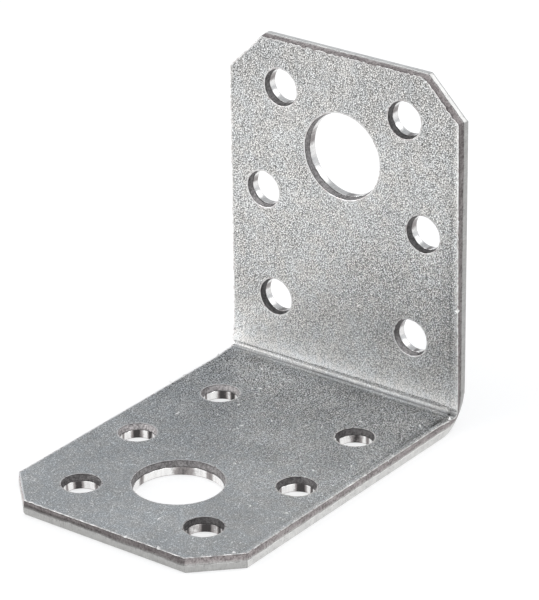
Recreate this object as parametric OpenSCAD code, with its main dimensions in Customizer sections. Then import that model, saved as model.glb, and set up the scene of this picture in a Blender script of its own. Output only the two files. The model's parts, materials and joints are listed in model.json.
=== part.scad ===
// Angle bracket folded from one strip of zinc-coated steel sheet.
// Two legs at right angles, each with six small screw holes and one large bolt hole.
// The strip is sheared from its outer side. Along every sheared edge the outer side has a small
// rollover and a smooth band, and the inner side has a torn band that draws in a little.
// X runs across the strip. The base leg lies towards -Y and the upright stands at the back.
// The origin is the middle of the footprint, on the underside of the base leg.

/* [Sheet] */
// Width of the strip
strip_w = 35; // [29:0.5:60]
// Thickness of the sheet
sheet_t = 2; // [1.6:0.1:3]

/* [Legs] */
// Outside length of the base leg, from its free end to the back of the upright
base_leg = 50.5; // [45:0.5:90]
// Outside height of the upright leg, from the underside of the base leg to its free end
upright_leg = 46.5; // [44:0.5:90]
// Cropped corner, measured along each of the two edges that it joins
corner_cut = 5.2; // [1:0.1:7]

/* [Fold] */
// Radius on the inner side, pressed by the nose of the punch
fold_in = 0.8; // [0.5:0.1:2]
// Radius on the outer side, where the sheet has thinned
fold_out = 4.3; // [3:0.1:5]
// How far the squeezed inner side swells past each side edge
swell = 0.25; // [0.1:0.05:0.4]
// How far the stretched outer side necks in from each side edge
neck = 0.3; // [0.1:0.05:0.4]

/* [Small holes] */
// Diameter of the screw holes
small_d = 4.5; // [3:0.1:6]
// Side edge to the pair nearest the free end
outer_edge = 8.1; // [6:0.1:9]
// Side edge to the middle pair
middle_edge = 5.2; // [4.5:0.1:7]
// Side edge to the pair nearest the fold
inner_edge = 7; // [5:0.1:9]

/* [Large holes] */
// Diameter of the bolt hole on the centre line of each leg
large_d = 11; // [6:0.1:13]

/* [Rows of holes] */
// Free end of the base leg to its outer pair
base_end = 7.45; // [5:0.05:9]
// Free end of the upright leg to its outer pair
upright_end = 6.45; // [5:0.05:9]
// Outer pair to the large hole, along the leg
outer_pitch = 7.1; // [6:0.1:9]
// Large hole to the middle pair, along the leg
middle_pitch = 7.4; // [4:0.1:9]
// Middle pair to the inner pair, along the leg
inner_pitch = 14.6; // [10:0.1:15]

/* [Sheared edges] */
// Radius of the rollover along the outline, on the outer side
rollover_r = 0.3; // [0.1:0.05:0.5]
// Depth of the torn band along the outline, from the inner side
tear_h = 1; // [0.4:0.1:1.2]
// How far the torn band draws in at the inner side
tear_inset = 0.12; // [0.04:0.02:0.3]
// Depth of the torn band in a hole, from the inner side
hole_tear_h = 0.9; // [0.4:0.1:1.2]
// How far a hole opens out at the inner side
hole_flare = 0.12; // [0.04:0.02:0.3]
// Rollover of a hole, on the outer side
hole_ease = 0.15; // [0.05:0.05:0.3]

/* [Hidden] */
$fn = 48;

half_w = strip_w / 2;
// How far a cutter stands clear of the metal that it cuts
over = 3;
// Spare length of the blank at each free end, which is cropped off
spare = 1;
// The inner round of the fold is centred this far inside both outer faces
in_centre = sheet_t + fold_in;
// Thickness of the metal across the middle of the fold
fold_t = (in_centre - fold_out) * sqrt(2) + fold_out - fold_in;
// The swelling is part of a ball that meets the side edge this far from the centre of the fold,
// so it ends where the rollover starts
swell_reach = fold_in + fold_t - rollover_r;
swell_ball = (pow(swell_reach, 2) - pow(fold_in, 2)) / (2 * swell);
// The neck is the print of a ball that stands this far out from the outer round of the fold
neck_out = 4;
neck_reach = neck_out + fold_t / 2;
neck_ball = (pow(neck_reach, 2) - pow(neck_out, 2)) / (2 * neck);
zinc = [0.66, 0.67, 0.68];

// Everything below is drawn from the outer corner line of the bracket, with the base leg along
// -Y. Mirroring in the plane between the legs turns the base leg into the upright.
module as_upright() {
    mirror([0, 1, 1]) children();
}

module both_sides() {
    for (side = [0, 1]) mirror([side, 0, 0]) children();
}

// Side view of the folded sheet, as seen along X
module side_view() {
    difference() {
        union() {
            translate([-base_leg - spare, 0]) square([base_leg + spare, sheet_t]);
            translate([-sheet_t, 0]) square([sheet_t, upright_leg + spare]);
            translate([-in_centre, 0]) square(in_centre);
        }
        translate([-in_centre, in_centre]) circle(r = fold_in);
        difference() {
            translate([-fold_out, -over]) square(fold_out + over);
            translate([-fold_out, fold_out]) circle(r = fold_out, $fn = 4 * $fn);
        }
    }
}

module across(length) {
    rotate([90, 0, 90]) linear_extrude(height = length, center = true) children();
}

// Offcuts of a sheared edge: x runs out over the edge, y up from the outer side of the sheet
module tear_offcut() {
    polygon([
        [-tear_inset, sheet_t],
        [0, sheet_t - tear_h],
        [over, sheet_t - tear_h],
        [over, in_centre],
        [-tear_inset, in_centre],
    ]);
}

module rollover_offcut() {
    difference() {
        translate([-rollover_r, -over]) square([rollover_r + over, over + rollover_r]);
        translate([-rollover_r, rollover_r]) circle(r = rollover_r);
    }
}

module end_offcut() {
    tear_offcut();
    rollover_offcut();
    square([corner_cut + over, sheet_t]);
}

// Runs an offcut along both side edges, round a fold of which the centre lies at the given
// distance from both outer faces
module trim_sides(centre) {
    run = max(base_leg, upright_leg) + over - centre;
    both_sides() {
        translate([half_w, -centre, 0]) rotate([90, 0, 0])
            linear_extrude(height = run) children();
        as_upright() translate([half_w, -centre, 0]) rotate([90, 0, 0])
            linear_extrude(height = run) children();
        translate([half_w, -centre, centre]) rotate([0, 90, 0])
            rotate_extrude(angle = 90) translate([centre, 0]) rotate(90) children();
    }
}

// Crops the free end of a leg and its two corners
module crop_end(leg) {
    run = strip_w + 2 * over;
    middle = corner_cut / 2;
    translate([0, -leg, 0]) rotate([0, 0, -90]) edge_cutter(run);
    both_sides()
        translate([half_w - middle, middle - leg, 0]) rotate([0, 0, -45]) edge_cutter(run / 2);
}

module edge_cutter(run) {
    rotate([90, 0, 0]) linear_extrude(height = run, center = true) end_offcut();
}

// One punched hole, from the outer side at z = 0 to the inner side
module punched_hole(d) {
    r = d / 2;
    translate([0, 0, -over]) cylinder(r = r, h = sheet_t + 2 * over);
    translate([0, 0, -over]) cylinder(r = r + hole_ease, h = over);
    cylinder(r1 = r + hole_ease, r2 = r, h = hole_ease);
    translate([0, 0, sheet_t - hole_tear_h])
        cylinder(r1 = r, r2 = r + hole_flare, h = hole_tear_h);
    translate([0, 0, sheet_t]) cylinder(r = r + hole_flare, h = over);
}

module punch_leg(leg, end) {
    outer_row = end - leg;
    large_row = outer_row + outer_pitch;
    middle_row = large_row + middle_pitch;
    inner_row = middle_row + inner_pitch;
    translate([0, large_row, 0]) punched_hole(large_d);
    both_sides() {
        translate([half_w - outer_edge, outer_row, 0]) punched_hole(small_d);
        translate([half_w - middle_edge, middle_row, 0]) punched_hole(small_d);
        translate([half_w - inner_edge, inner_row, 0]) punched_hole(small_d);
    }
}

// The part of a ball that stands above z = 0, with its top at the given height
module ball_top(ball, height) {
    rotate_extrude() intersection() {
        translate([0, height - ball]) circle(r = ball, $fn = 4 * $fn);
        square([ball, height]);
    }
}

// Squeezed metal at both ends of the inner round
module fold_swell() {
    root = sheet_t / 4;
    height = root + pow(swell_reach, 2) / (2 * swell_ball);
    intersection() {
        both_sides() translate([half_w - root, -in_centre, in_centre]) rotate([0, 90, 0])
            ball_top(swell_ball, height);
        across(strip_w + over) side_view();
    }
}

// Print left by the stretching at both ends of the outer round
module fold_neck() {
    middle = fold_out - (fold_out + neck_out) / sqrt(2);
    height = over + pow(neck_reach, 2) / (2 * neck_ball);
    both_sides() translate([half_w + over, -middle, middle]) rotate([0, -90, 0])
        ball_top(neck_ball, height);
}

module angle_bracket() {
    color(zinc) translate([0, base_leg / 2, 0]) difference() {
        union() {
            difference() {
                across(strip_w) side_view();
                trim_sides(in_centre) tear_offcut();
            }
            fold_swell();
        }
        trim_sides(fold_out) rollover_offcut();
        fold_neck();
        crop_end(base_leg);
        as_upright() crop_end(upright_leg);
        punch_leg(base_leg, base_end);
        as_upright() punch_leg(upright_leg, upright_end);
    }
}

angle_bracket();
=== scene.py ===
"""Looks of a folded steel angle bracket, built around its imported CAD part.

One sheet, so one main piece: the skin of the folded strip, with its sheared edges, punched holes
and pressed fold. Small burrs along the sheared edges and pimples in the zinc are grown on it.
Lengths in the classes are millimetres. Meshes are scaled to metres when they are made.
"""

import json
import logging
import math
from dataclasses import dataclass, field
from enum import IntEnum
from functools import reduce

import bmesh
import bpy
import numpy as np
from bpy.types import ID, Material, Mesh, Node, NodeSocket as Socket, Object, World
from mathutils import Matrix, Vector, geometry


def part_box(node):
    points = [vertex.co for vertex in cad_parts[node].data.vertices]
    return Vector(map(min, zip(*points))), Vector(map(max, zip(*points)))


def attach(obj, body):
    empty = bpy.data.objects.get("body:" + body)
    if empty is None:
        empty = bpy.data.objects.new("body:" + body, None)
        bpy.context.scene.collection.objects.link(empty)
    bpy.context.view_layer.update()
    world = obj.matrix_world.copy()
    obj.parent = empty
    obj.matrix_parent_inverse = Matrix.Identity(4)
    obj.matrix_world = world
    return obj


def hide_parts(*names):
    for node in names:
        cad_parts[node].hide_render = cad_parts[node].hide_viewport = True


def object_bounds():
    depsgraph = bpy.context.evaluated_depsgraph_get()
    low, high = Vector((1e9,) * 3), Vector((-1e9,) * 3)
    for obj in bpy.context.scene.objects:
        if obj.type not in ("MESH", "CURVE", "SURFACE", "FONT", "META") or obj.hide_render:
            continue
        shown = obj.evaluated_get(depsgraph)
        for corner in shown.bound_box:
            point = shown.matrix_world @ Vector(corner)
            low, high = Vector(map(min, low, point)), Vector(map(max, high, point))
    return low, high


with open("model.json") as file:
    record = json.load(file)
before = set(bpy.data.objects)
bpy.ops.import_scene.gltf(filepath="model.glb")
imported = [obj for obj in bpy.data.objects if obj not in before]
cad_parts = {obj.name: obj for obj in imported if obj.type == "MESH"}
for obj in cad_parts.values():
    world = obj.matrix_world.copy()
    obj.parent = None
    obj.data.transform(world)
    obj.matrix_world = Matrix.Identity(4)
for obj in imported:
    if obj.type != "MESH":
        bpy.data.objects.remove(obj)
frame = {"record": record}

CAD_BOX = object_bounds()
MM = 0.001
NODE = "angle_bracket"
BODY = "root"
LOG = logging.getLogger("angle_bracket")

Array = np.ndarray
Pair = tuple[float, float]
Three = tuple[float, float, float]
Colour = Four = tuple[float, float, float, float]
Table = tuple[tuple[float, ...], ...]

# number of the first hole's edge, where the outline is edge 1
FIRST_HOLE = 20
# samples round a small and a large hole, and the radius that tells them apart
HOLE_SAMPLES, LARGE_HOLE_SAMPLES, LARGE_RADIUS = 84, 176, 4
# how sharply a tone or an inset keeps to the edges that face straight along an axis
FACING = 6
# how far the marks beside the right edge can reach in from it, in millimetres
SIDE_BAND = 3.0
# vertices of one bead of zinc
BEAD_VERTICES = 42


class Zone(IntEnum):
    """The finish that a face of the skin wears, by material index."""

    ZINC = 0
    LIP = 1
    TORN = 2
    BURNISHED = 3
    BORE_TORN = 4
    BORE = 5


# ---- Sizes and small helpers


def bell(x: Array, width: float) -> Array:
    """A bell curve of height 1."""
    return np.exp(-((x / width) ** 2))


def unit(x: Array) -> Array:
    """Values held to 0..1."""
    return np.clip(x, 0, 1)


def ramp(x: Array, start: float, end: float) -> Array:
    """Values that run straight from 0 at start to 1 at end and are held there."""
    return unit((x - start) / (end - start))


def new_mesh(name: str, points: Array, edges: list, faces: list) -> Mesh:
    """A new mesh from points in millimetres."""
    mesh = bpy.data.meshes.new(name)
    mesh.from_pydata((points * MM).tolist(), edges, faces)
    return mesh


def new_object(name: str, data: ID) -> Object:
    """A new object in the scene, at the origin."""
    made = bpy.data.objects.new(name, data)
    bpy.context.scene.collection.objects.link(made)
    return made


def outward(azimuth: float, elevation: float) -> Vector:
    """Direction from the bracket to a lamp or the camera. Azimuth 0 is the front, in degrees."""
    a, e = math.radians(azimuth), math.radians(elevation)
    return Vector((math.sin(a) * math.cos(e), -math.cos(a) * math.cos(e), math.sin(e)))


class Nodes:
    """Writes nodes into a tree."""

    tree: bpy.types.NodeTree

    def node(self, kind: str, inputs: dict | None = None, **settings: object) -> Node:
        """Adds a node: sets its properties, and then a value or an output for each of its inputs."""
        made = self.tree.nodes.new(kind)
        for key, value in settings.items():
            setattr(made, key, value)
        for key, value in (inputs or {}).items():
            if isinstance(value, Socket):
                self.tree.links.new(value, made.inputs[key])
            else:
                made.inputs[key].default_value = value
        return made

    def out(self, kind: str, inputs: dict | None = None, **settings: object) -> Socket:
        """The first output of a new node."""
        return self.node(kind, inputs, **settings).outputs[0]


@dataclass(frozen=True)
class SheetSizes:
    """Sizes of the sheet, in millimetres."""

    thickness: float = 2.0
    corner_cut: float = 5.2
    corner_round: float = 0.45
    fold_in: float = 0.8
    fold_out: float = 4.3
    # swell at the ends of the fold: height, reach in from the edge, out from the inner round and
    # along the strip, and the share lost through the sheet
    swell: float = 0.25
    swell_in: float = 1.1
    swell_out: float = 1.35
    swell_along: float = 12.0
    swell_loss: float = 0.75
    # neck on the outer side of the fold: depth, reach along the strip, growth through the sheet
    neck: float = 0.3
    neck_along: float = 3.2
    neck_growth: float = 1.5
    # inset of the lip from the wall on the right, left, far, near and cropped edges
    lip_insets: tuple[float, ...] = (0.02, 0.12, 0.16, 0.0, 0.08)
    # how far the right lip leans out at the foot and the top of the upright, and where it starts
    lip_lean: Pair = (0.35, -0.14)
    lean_start: float = 1.5
    # how far the burnished wall stands out on the sides of the upright
    wall_stand: float = 0.08
    hole_flare: float = 0.2

    @property
    def fold_centre(self) -> float:
        """Distance from both outer faces to the axis of the inner round."""
        return self.thickness + self.fold_in

    @property
    def lead(self) -> float:
        """Straight run of the inner side, within the fold, before and after the inner round."""
        return self.fold_out - self.fold_centre

    @property
    def arc(self) -> float:
        """Length of the inner round."""
        return self.fold_in * math.pi / 2


@dataclass(frozen=True)
class Hole:
    """A punched hole in the flat plan of the strip, in millimetres."""

    across: float
    along: float
    radius: float


@dataclass(frozen=True)
class DarkReflection:
    """A band of painted dark reflection down the wall of a hole. Its turn about the hole and half width are
    degrees.
    """

    turn: float
    half: float
    strength: float


@dataclass(frozen=True)
class HoleMark:
    """Painted light and shade of one hole: how much brighter its torn band is, and how strong the painted
    dark reflections on its wall are.

    turn moves the main band of painted dark reflection round the hole, in degrees, and a painted shade can
    darken the whole wall. fall is painted light on the torn band on the lower left of the hole.
    """

    torn: float
    dark_reflection: float
    turn: float = 0.0
    wall_shade: float = 0.0
    fall: float = 0.0


@dataclass(frozen=True)
class CutPaintedLight:
    """Painted light and shade on the lip, the torn and the burnished band of each cut, set by the way each
    edge faces, and on the holes.
    """

    upright_side: Three = (-0.06, -0.2, -0.38)
    upright_end: Three = (-0.42, 0.0, 0.3)
    upright_crop: Three = (-0.1, -0.15, -0.06)
    base_side: Three = (0.0, 0.22, 0.06)
    base_end: Three = (0.04, -0.38, -0.33)
    base_crop: Three = (-0.5, 0.45, -0.33)
    # millimetres over which the tones of the base give way to those of the upright
    blend: float = 6.0
    # painted shade on the base's corners and painted highlight on its left crop, at turns from the side in
    # degrees
    corner_line: float = -0.5
    corner_turn: float = 22.5
    left_crop: float = 0.7
    crop_turn: float = 45.0
    turn_half: float = 9.0
    # painted light on the torn band of the far edge, painted light and shade in bands of the near one (tone,
    # depth, half width), which fade out to its right, and painted shade on the heel of the right one (tone,
    # along, half length, depth, half width)
    far_torn: float = 0.45
    near_torn: Table = ((0.12, 0.28, 0.15), (-0.3, 0.66, 0.17))
    near_fade: float = 12.0
    heel: tuple[float, ...] = (-0.3, -7.0, 2.5, 0.15, 0.25)
    # bands of painted dark reflection down the walls of the base's and the upright's holes
    base_reflections: tuple[DarkReflection, ...] = (DarkReflection(124, 15, 1.0), DarkReflection(189, 7, 0.7), DarkReflection(78, 9, 0.85))
    upright_reflections: tuple[DarkReflection, ...] = (DarkReflection(160, 16, 0.5), DarkReflection(277, 14, 0.4))
    # how far the bands of painted dark reflection vary in turn, width and strength, how much narrower they
    # are in a large hole and how steep their sides are
    reflection_spread: Three = (8.0, 0.35, 0.25)
    large_narrow: float = 0.7
    reflection_steep: int = 3
    darkest: float = 1.2
    hole_lip: float = -0.3
    # turns at which the lower left of a hole begins, is reached, is left and ends
    lower_left: Four = (185, 215, 285, 300)
    hole_marks: tuple[HoleMark, ...] = (
        HoleMark(0.0, 0.85, 11, 0.05), HoleMark(-0.3, 1.0, 0, 0.3), HoleMark(0.3, 0.72, 0, 0.06),
        HoleMark(1.7, 1.1, 8), HoleMark(-0.1, 1.0, -13), HoleMark(1.2, 1.2),
        HoleMark(-0.2, 1.0, -8, 0.08), HoleMark(-0.4, 1.0), HoleMark(-0.3, 1.0, fall=1.0),
        HoleMark(0.0, 1.0, fall=0.9), HoleMark(-0.35, 1.0), HoleMark(0.25, 0.8, fall=0.2),
        HoleMark(-0.15, 1.0, fall=0.25), HoleMark(-0.35, 1.4),
    )

    def band(self, loop: "Loop", pick: int) -> Array:
        """Painted light and shade of the lip (0), torn (1) or burnished (2) band of the outline, by the way
        it faces, one value per sample.
        """
        x, y = np.abs(loop.normals.T)
        base, upright = (
            crop[pick] + (side[pick] - crop[pick]) * x**FACING + (end[pick] - crop[pick]) * y**FACING
            for side, end, crop in ((self.base_side, self.base_end, self.base_crop),
                                    (self.upright_side, self.upright_end, self.upright_crop))
        )
        away = np.degrees(np.arctan2(-loop.normals[:, 1], x))
        base += self.corner_line * bell(away - self.corner_turn, self.turn_half)
        base += self.left_crop * bell(away - self.crop_turn, self.turn_half) * (loop.normals[:, 0] < 0)
        share = unit(loop.points[:, 1] / self.blend + 0.5)
        return base * (1 - share) + upright * share

    def torn_outline(self, loop: "Loop", depth: Array, mark: Array) -> Array:
        """Painted light and shade of the torn band of the outline at a depth. mark is the depth that the
        finish goes by.
        """
        tone = self.band(loop, 1) + self.far_torn * loop.facing(1) * unit(depth)
        near = loop.facing(1, -1) ** FACING * unit(0.5 - loop.points[:, 0] / self.near_fade)
        tone = tone + near * sum(more * bell(mark - at, half) for more, at, half in self.near_torn)
        more, along, reach, at, half = self.heel
        heel = bell(loop.points[:, 1] - along, reach) * loop.facing(0)
        return tone + more * heel * bell(mark - at, half)

    def dark_reflection(self, loop: "Loop") -> Array:
        """Darkness of the painted dark reflections and painted shade on the wall round a hole, one value per
        sample.
        """
        turn = self._turns(loop)
        mark = self.hole_marks[loop.seed - FIRST_HOLE]
        narrow = self.large_narrow if len(turn) == LARGE_HOLE_SAMPLES else 1.0
        chance = LatticeNoise(loop.seed)
        dark = np.zeros(len(turn))
        for k, stroke in enumerate(self.base_reflections if loop.points[0, 1] < 0 else self.upright_reflections):
            stray, wider, darker = chance.plane(np.array([0, 7, 13]), k) * self.reflection_spread
            away = (turn - stroke.turn - (mark.turn if k == 0 else 0) - stray + 180) % 360 - 180
            half = narrow * stroke.half * (1 + wider)
            dark += stroke.strength * (1 + darker) * np.exp(-np.abs(away / half) ** self.reflection_steep)
        return np.clip(dark * mark.dark_reflection + mark.wall_shade, 0, self.darkest)

    def torn(self, loop: "Loop") -> Array:
        """Painted light and shade on the torn band of a hole, one value per sample."""
        mark = self.hole_marks[loop.seed - FIRST_HOLE]
        turn = self._turns(loop)
        begin, reached, left, end = self.lower_left
        return mark.torn + mark.fall * (ramp(turn, begin, reached) * ramp(turn, end, left))

    @staticmethod
    def _turns(loop: "Loop") -> Array:
        """Turn of each sample about the middle of its hole, 0 to 360 degrees."""
        x, y = (loop.points - loop.points.mean(axis=0)).T
        return np.degrees(np.arctan2(y, x)) % 360


@dataclass(frozen=True)
class LatticeNoise:
    """Smooth random values on a lattice, the same on every run."""

    seed: int

    def _lattice(self, i: Array, j: Array) -> Array:
        """Random values in -1..1 at whole lattice points."""
        i, j = i.astype(np.int64), j.astype(np.int64)
        h = (i * 374761393 + j * 668265263 + self.seed * 144665) & 0xFFFFFFFF
        h = ((h ^ (h >> 13)) * 1274126177) & 0xFFFFFFFF
        h = (h ^ (h >> 16)) & 0xFFFFFF
        return h / float(0x7FFFFF) - 1.0

    def plane(self, x: Array, y: Array) -> Array:
        """Noise over a plane, in about -1..1. Coordinates are in lattice steps."""
        x, y = np.broadcast_arrays(np.asarray(x, float), np.asarray(y, float))
        i, j = np.floor(x), np.floor(y)
        u, v = x - i, y - j
        u, v = u * u * (3 - 2 * u), v * v * (3 - 2 * v)
        a = self._lattice(i, j) * (1 - u) + self._lattice(i + 1, j) * u
        b = self._lattice(i, j + 1) * (1 - u) + self._lattice(i + 1, j + 1) * u
        return a * (1 - v) + b * v

    def line(self, x: Array) -> Array:
        """Noise along a line, in about -1..1."""
        return self.plane(x, np.full_like(np.asarray(x, float), 0.37))


@dataclass(frozen=True)
class Side:
    """How one side of the sheet is covered with points between its edges. All are millimetres."""

    inner: bool
    # distances of the rings from the edges, and the plain grid's step and clearance
    rings: tuple[float, ...]
    step: float
    clear: float
    # the finest rows, along the inner round: half length of their strip, and their steps
    fine: float = 0.0
    fine_steps: Pair = (0.4, 0.085)
    ring_step: float = 0.42
    ring_clear: float = 0.55
    # the fold's rows: their steps, how far they pass the fold and keep off the edges
    fold_steps: Pair = (0.62, 0.32)
    fold_margin: float = 0.3
    fold_clear: float = 1.5


INNER = Side(True, (0.62, 0.9, 1.25), 0.72, 1.6, fine=2.5)
OUTER = Side(False, (0.7, 1.15), 0.9, 1.5)


# ---- Outlines in the flat plan


@dataclass
class Loop:
    """A closed sheared edge in the flat plan, with the metal on its left.

    points and normals have one row each per sample. Normals point away from the metal, and room
    is how far a sample may move into it.
    """

    points: Array
    normals: Array
    room: Array
    bore: bool
    seed: int

    @property
    def steps(self) -> Array:
        """Distance from each sample to the next, in millimetres."""
        return np.linalg.norm(np.roll(self.points, -1, 0) - self.points, axis=1)

    @property
    def run(self) -> Array:
        """Distance along the edge to each sample, in millimetres."""
        return np.concatenate([[0.0], np.cumsum(self.steps)[:-1]])

    def facing(self, axis: int, sign: int = 1) -> Array:
        """How squarely each sample faces along X (0) or Y (1), from 0 to 1."""
        return unit(sign * self.normals[:, axis])

    def noise(self, size: float, channel: int = 0) -> Array:
        """Noise of a size in -1..1 that closes on itself. Each channel is independent of the others."""
        length = float(self.steps.sum())
        turns = self.run / length * 2 * math.pi
        radius = length / (2 * math.pi * size)
        x, y = radius * np.cos(turns) + 31.7, radius * np.sin(turns) + 11.3
        return LatticeNoise(self.seed * 17 + channel).plane(x, y)

    def ripple(self, *waves: tuple[float, float, int]) -> Array:
        """The sum of some noises along the edge, each a height, a size and a channel."""
        return sum(height * self.noise(size, channel) for height, size, channel in waves)


@dataclass
class StripPlan:
    """The strip laid out flat: across in X, along in Y, with the outer corner line at 0.

    The base leg runs to -base_leg and the upright to +upright_leg.
    """

    sizes: SheetSizes
    half_width: float
    base_leg: float
    upright_leg: float
    back: float
    holes: list[Hole]

    @classmethod
    def from_frame(cls, sizes: SheetSizes, record: dict) -> "StripPlan":
        """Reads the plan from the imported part.

        Args:
            sizes: sizes that the record doesn't hold.
            record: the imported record, whose mounts place the holes.

        Returns:
            The plan of the strip.
        """
        low, high = (np.array(corner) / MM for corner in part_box(NODE))
        back = float(high[1])
        holes = []
        for mount in record["mounts"]:
            if mount["kind"] not in ("bore", "bolt_pattern"):
                continue
            x, y, z = (c / MM for c in mount["pos_m"])
            upright = abs(mount["axis"][1]) > 0.5
            along = z if upright else y - back
            dims = mount["dims"]
            radius = dims.get("r_mm") or dims["hole_r_mm"]
            half = dims.get("spacing_x_mm", 0.0) / 2
            for across in {x - half, x + half}:
                holes.append(Hole(across, along, radius))
        holes.sort(key=lambda h: (h.along, h.across))
        half_width = float(high[0]) - sizes.swell
        return cls(sizes, half_width, back - float(low[1]), float(high[2]), back, holes)

    def corners(self, inward: float = 0.0) -> list[Pair]:
        """Corners of the outline, anticlockwise, moved into the metal by a distance."""
        w = self.half_width - inward
        low, high = self.base_leg - inward, self.upright_leg - inward
        cut = self.sizes.corner_cut - inward * (2 - math.sqrt(2))
        return [
            (w, -low + cut), (w, high - cut), (w - cut, high), (-w + cut, high),
            (-w, high - cut), (-w, -low + cut), (-w + cut, -low), (w - cut, -low),
        ]

    def inside(self, points: Array) -> Array:
        """Distance of plan points into the metal from the outline, without the holes."""
        x, y = np.abs(points[:, 0]), points[:, 1]
        side = self.half_width - x
        ends = np.minimum(y + self.base_leg, self.upright_leg - y)
        crop = (side + ends - self.sizes.corner_cut) / math.sqrt(2)
        return np.minimum(np.minimum(side, ends), crop)

    def clear_of_holes(self, points: Array) -> Array:
        """Distance of plan points from the wall of the nearest hole."""
        x, y = points.T
        return np.min([np.hypot(x - h.across, y - h.along) - h.radius for h in self.holes], axis=0)

    def clear(self, points: Array) -> Array:
        """Distance of plan points into the metal from the nearest edge or hole."""
        return np.minimum(self.inside(points), self.clear_of_holes(points))

    def outline(self, spacing: float = 0.26, fold_spacing: float = 0.13, corner_samples: int = 5) -> Loop:
        """The outer sheared edge, with slightly blunt corners.

        Args:
            spacing: distance between samples.
            fold_spacing: the same, along the fold.
            corner_samples: samples round one corner.

        Returns:
            The closed edge.
        """
        corners = np.array(self.corners())
        sides = np.roll(corners, -1, 0) - corners
        lengths = np.linalg.norm(sides, axis=1)
        ways = sides / lengths[:, None]
        radius, fold = self.sizes.corner_round, self.sizes.fold_out + 0.4
        turn = math.pi / 4
        back_off = radius * math.tan(turn / 2)
        points, normals, bends = [], [], []
        for corner, before, way, length in zip(corners, np.roll(ways, 1, 0), ways, lengths):
            centre = corner - before * back_off - np.array([before[1], -before[0]]) * radius
            for angle in np.linspace(0, turn, corner_samples):
                c, d = math.cos(angle), math.sin(angle)
                normals.append(np.array([before[1] * c + before[0] * d, before[1] * d - before[0] * c]))
                points.append(centre + normals[-1] * radius)
                bends.append(points[-1])
            start, at = corner + way * back_off, 0.0
            while True:
                in_fold = abs(way[1]) > 0.9 and abs((start + way * at)[1]) < fold
                at += fold_spacing if in_fold else spacing
                if at > length - 2 * back_off - 0.5 * spacing:
                    break
                points.append(start + way * at)
                normals.append(np.array([way[1], -way[0]]))
        flat, tips = np.array(points), np.array(bends)
        # near a corner the rows have less room before they would cross
        room = 0.41 + 1.2 * np.linalg.norm(flat[:, None] - tips[None], axis=2).min(axis=1)
        return Loop(flat, np.array(normals), room, False, 1)

    def hole_edge(self, index: int) -> Loop:
        """The punched edge of one hole."""
        hole = self.holes[index]
        count = LARGE_HOLE_SAMPLES if hole.radius > LARGE_RADIUS else HOLE_SAMPLES
        angle = -np.linspace(0, 2 * math.pi, count, endpoint=False)
        out = np.stack([np.cos(angle), np.sin(angle)], 1)
        points = np.array([hole.across, hole.along]) + out * hole.radius
        return Loop(points, -out, np.ones(count), True, FIRST_HOLE + index)

    def face_points(self, side: Side) -> Array:
        """Plan points that carry one side of the sheet between its sheared edges.

        Args:
            side: how closely the side is covered.

        Returns:
            The points, each clear of every edge.
        """
        sets = []
        for inward in side.rings:
            ring = [np.array(c) for c in self.corners(inward)]
            for a, b in zip(ring, ring[1:] + ring[:1]):
                n = max(2, int(np.linalg.norm(b - a) / side.ring_step))
                sets.append(a + (b - a) * (np.arange(n) / n)[:, None])
            for hole in self.holes:
                reach = hole.radius + inward
                n = int(2 * math.pi * reach / side.ring_step)
                turn = np.linspace(0, 2 * math.pi, n, endpoint=False)
                sets.append((hole.across, hole.along) + reach * np.stack([np.cos(turn), np.sin(turn)], 1))
        rings = np.concatenate(sets)
        rings = rings[self.clear(rings) > side.ring_clear]
        fold, fine, step = self.sizes.fold_out + side.fold_margin, side.fine, side.step
        areas = [(-self.base_leg, -fold, step, step), (fold, self.upright_leg, step, step),
                 (-fold, -fine, *side.fold_steps), (fine, fold, *side.fold_steps)]
        if fine:
            areas.append((-fine, fine, *side.fine_steps))
        grid = np.concatenate([self._grid(*area) for area in areas])
        clear = self.clear(grid)
        on_fold = (np.abs(grid[:, 1]) < fold) & (clear > side.fold_clear)
        return np.concatenate([rings, grid[(clear > side.clear) | on_fold]])

    def _grid(self, low: float, high: float, across: float, along: float) -> Array:
        """A plain grid over part of the strip, with every other row shifted by half a step."""
        u = np.arange(-self.half_width, self.half_width + across, across)
        v = np.arange(low, high, along)
        shift = (np.arange(len(v)) % 2) * across / 2
        uu, vv = np.meshgrid(u, v)
        return np.stack([(uu + shift[:, None]).ravel(), vv.ravel()], 1)

    def section(self, along: Array) -> tuple[Array, Array]:
        """Side view of the folded sheet.

        Args:
            along: places along the flat strip.

        Returns:
            (y, z) on the inner side and on the outer side, one row per place.
        """
        s = self.sizes
        r, c, out = s.fold_in, s.fold_centre, s.fold_out
        share = unit((along + out) / (2 * out))
        turn = share * math.pi / 2
        outer = np.stack([-out + out * np.sin(turn), out - out * np.cos(turn)], 1)
        lead, arc = s.lead, s.arc
        path = share * (2 * lead + arc)
        phi = np.clip((path - lead) / r, 0, math.pi / 2)
        inner = np.stack([-c + r * np.sin(phi), c - r * np.cos(phi)], 1)
        inner[:, 0] -= np.clip(lead - path, 0, None)
        inner[:, 1] += np.clip(path - lead - arc, 0, None)
        past_base = np.clip(-out - along, 0, None)
        past_upright = np.clip(along - out, 0, None)
        for face in (inner, outer):
            face[:, 0] -= past_base
            face[:, 1] += past_upright
        return inner, outer

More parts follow.
